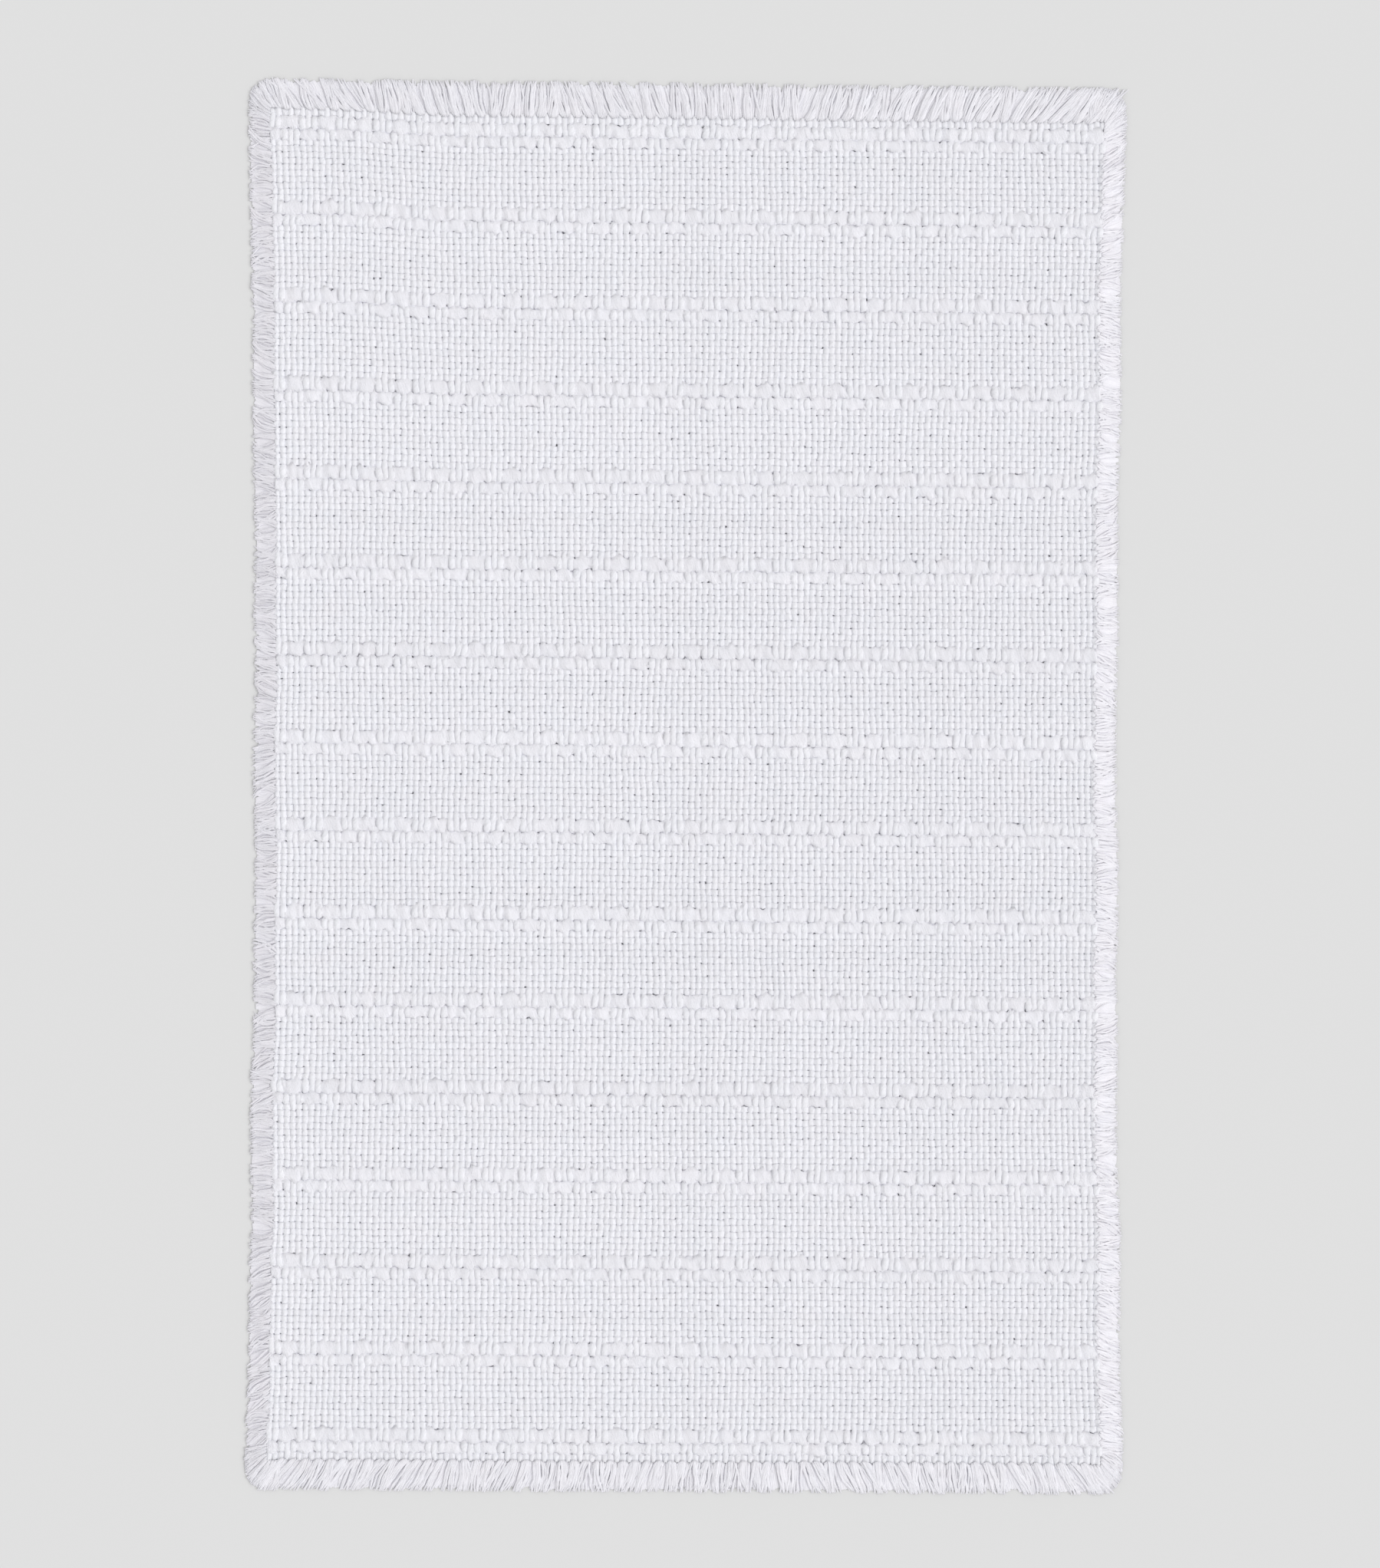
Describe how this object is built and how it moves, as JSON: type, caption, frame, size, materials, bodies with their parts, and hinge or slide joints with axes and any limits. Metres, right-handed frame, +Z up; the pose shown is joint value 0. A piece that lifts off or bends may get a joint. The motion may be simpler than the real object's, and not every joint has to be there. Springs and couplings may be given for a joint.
{
  "type": "bath mat",
  "caption": "Flat rectangular woven bath mat of thick white cotton yarn, with raised basket-weave float bands across a plain ground and a cut fringe on all four sides.",
  "frame": {"origin": "centre of the mat's footprint, on the floor", "axes": "+X across the mat to the right, +Y along its length to the end with the longer fringe, +Z up out of the floor"},
  "size_m": [0.533, 0.8636, 0.0054],
  "materials": {
    "warp_yarn": "thick soft-twist white cotton yarn, matt, faintly cool",
    "ground_yarn": "thick soft-twist white cotton yarn, matt",
    "float_yarn": "extra thick, loosely twisted white cotton yarn, matt with a soft sheen",
    "fringe_strands": "untwisted cotton strands, matt and slightly fluffy"
  },
  "bodies": {
    "root": {"heading_pick_top": "ground_yarn", "float_band_01": "float_yarn", "ground_weft_01": "ground_yarn", "float_band_02": "float_yarn", "ground_weft_02": "ground_yarn", "float_band_03": "float_yarn", "ground_weft_03": "ground_yarn", "float_band_04": "float_yarn", "ground_weft_04": "ground_yarn", "float_band_05": "float_yarn", "ground_weft_05": "ground_yarn", "float_band_06": "float_yarn", "ground_weft_06": "ground_yarn", "float_band_07": "float_yarn", "ground_weft_07": "ground_yarn", "float_band_08": "float_yarn", "ground_weft_08": "ground_yarn", "float_band_09": "float_yarn", "ground_weft_09": "ground_yarn", "float_band_10": "float_yarn", "ground_weft_10": "ground_yarn", "float_band_11": "float_yarn", "ground_weft_11": "ground_yarn", "float_band_12": "float_yarn", "ground_weft_12": "ground_yarn", "float_band_13": "float_yarn", "ground_weft_13": "ground_yarn", "float_band_14": "float_yarn", "ground_weft_14": "ground_yarn", "float_band_15": "float_yarn", "ground_weft_15": "ground_yarn", "float_band_16": "float_yarn", "heading_pick_bottom": "ground_yarn", "warp_ends_01": "warp_yarn", "warp_ends_02": "warp_yarn", "warp_ends_03": "warp_yarn", "warp_ends_04": "warp_yarn", "warp_ends_05": "warp_yarn", "warp_ends_06": "warp_yarn", "warp_ends_07": "warp_yarn", "warp_ends_08": "warp_yarn", "fringe_top": "fringe_strands", "fringe_left": "fringe_strands", "fringe_bottom": "fringe_strands", "fringe_right": "fringe_strands", "corner_fringe_top_right": "fringe_strands", "corner_fringe_top_left": "fringe_strands", "corner_fringe_bottom_left": "fringe_strands", "corner_fringe_bottom_right": "fringe_strands"}
  },
  "joints": []
}
